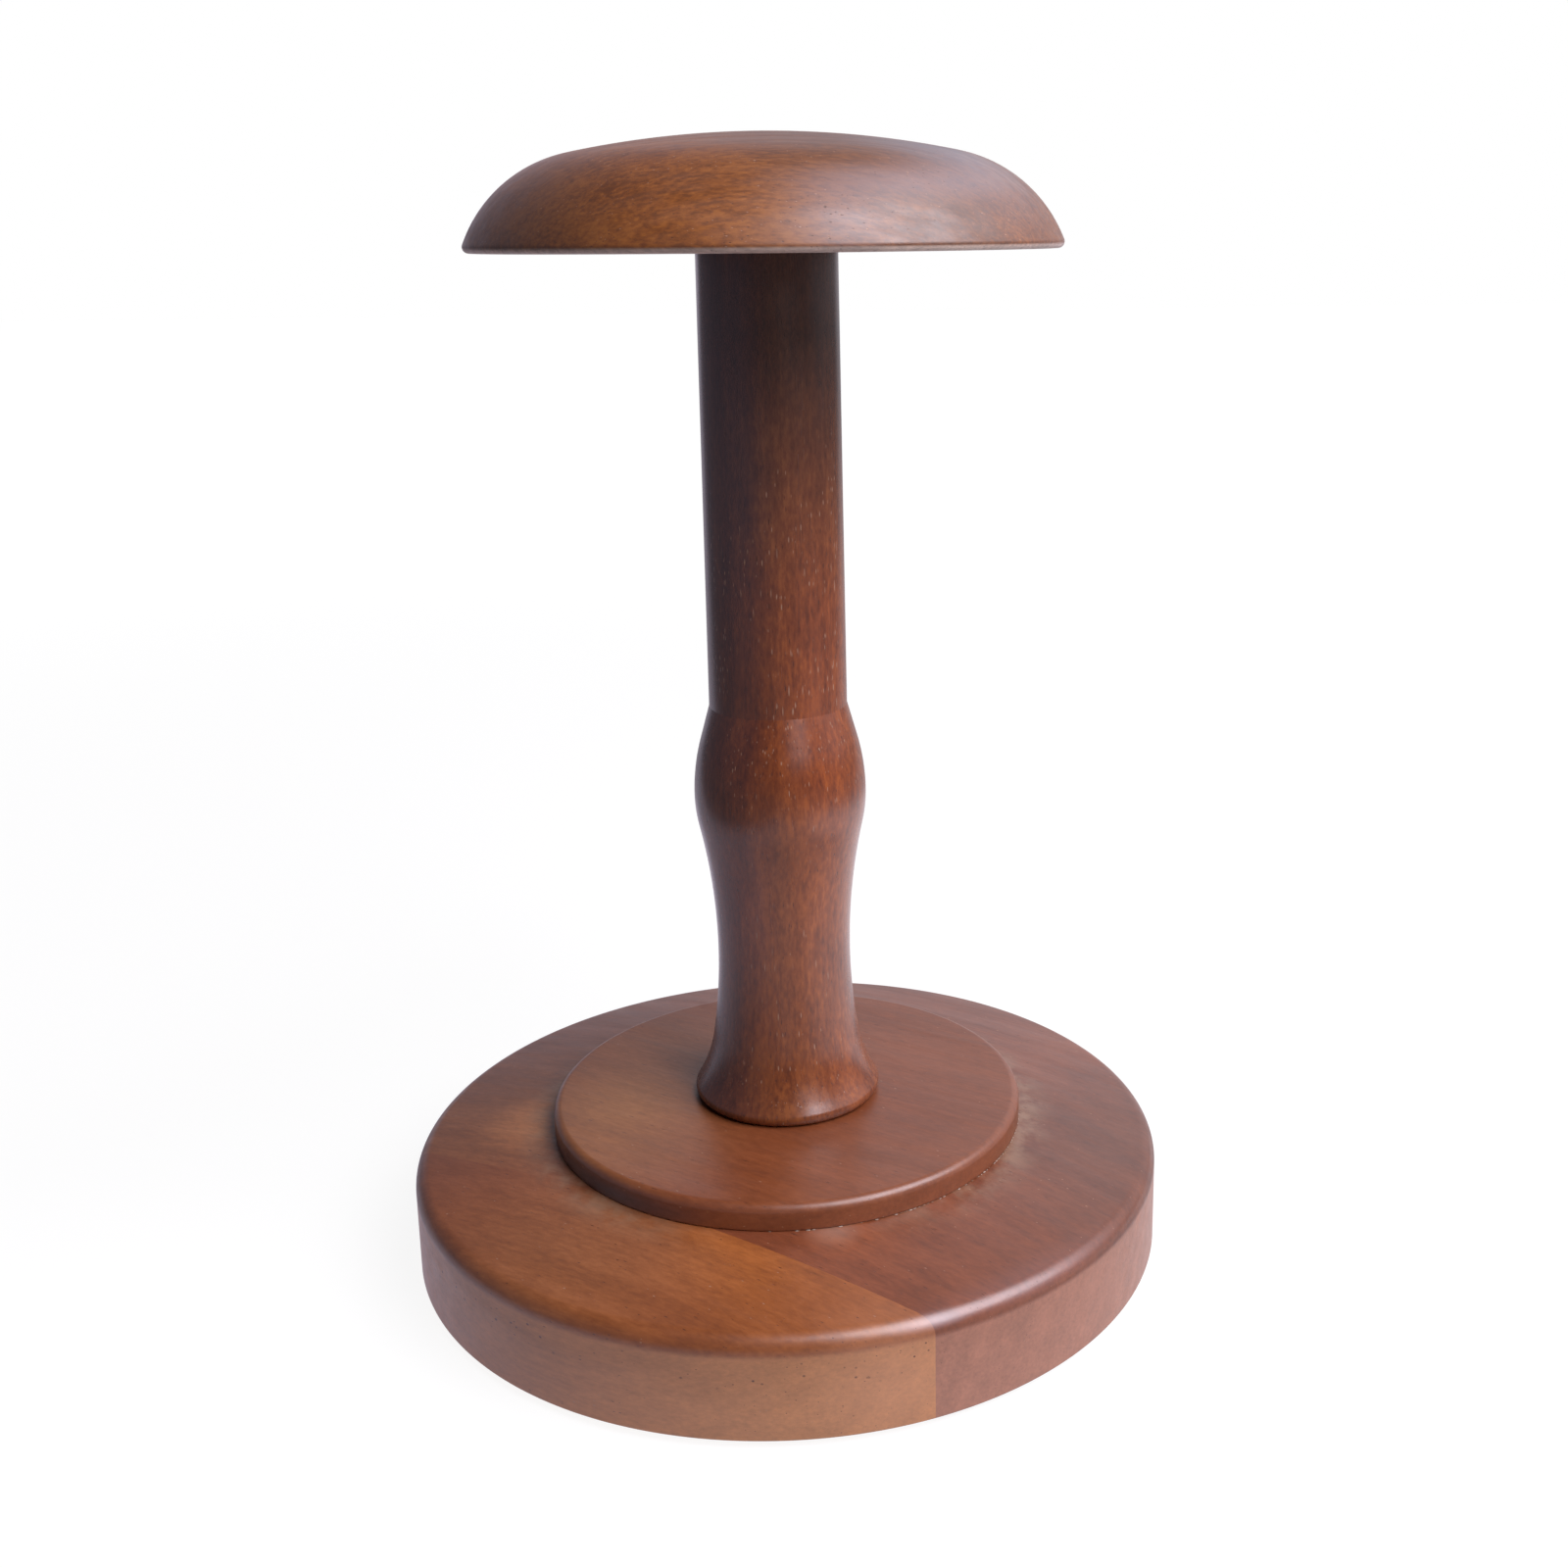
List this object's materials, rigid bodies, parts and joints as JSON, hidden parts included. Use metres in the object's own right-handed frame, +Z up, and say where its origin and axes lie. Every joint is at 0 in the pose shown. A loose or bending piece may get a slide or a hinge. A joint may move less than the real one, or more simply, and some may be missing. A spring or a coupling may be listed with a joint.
{
  "type": "wig stand",
  "caption": "Turned wooden stand with a broad domed head on a slim stem with a swelling, standing on a riser plate and a round base, for holding a wig or hat.",
  "frame": {"origin": "on the turning axis, on the plane of the felt pads' lower faces", "axes": "+Z up along the turning axis; the picture looks along +Y, and the base's glue line lies on the -Y side"},
  "size_m": [0.2, 0.2, 0.2907],
  "materials": {
    "cap_wood": "walnut-stained hardwood under satin lacquer",
    "stem_wood": "walnut-stained hardwood with open pores under satin lacquer",
    "plate_wood": "walnut-stained hardwood under satin lacquer",
    "front_board_wood": "walnut-stained hardwood under satin lacquer",
    "rear_board_wood": "walnut-stained hardwood under satin lacquer",
    "zinc_steel": "zinc-plated",
    "brass": "machined",
    "felt": "dense pressed felt"
  },
  "bodies": {
    "root": {"head_cap": "cap_wood", "cap_insert": "brass", "cap_stud": "zinc_steel", "stem": "stem_wood", "riser_plate": "plate_wood", "base_front_board": "front_board_wood", "base_rear_board": "rear_board_wood", "base_screw": "zinc_steel", "screw_washer": "zinc_steel", "felt_pads": "felt"}
  },
  "joints": []
}
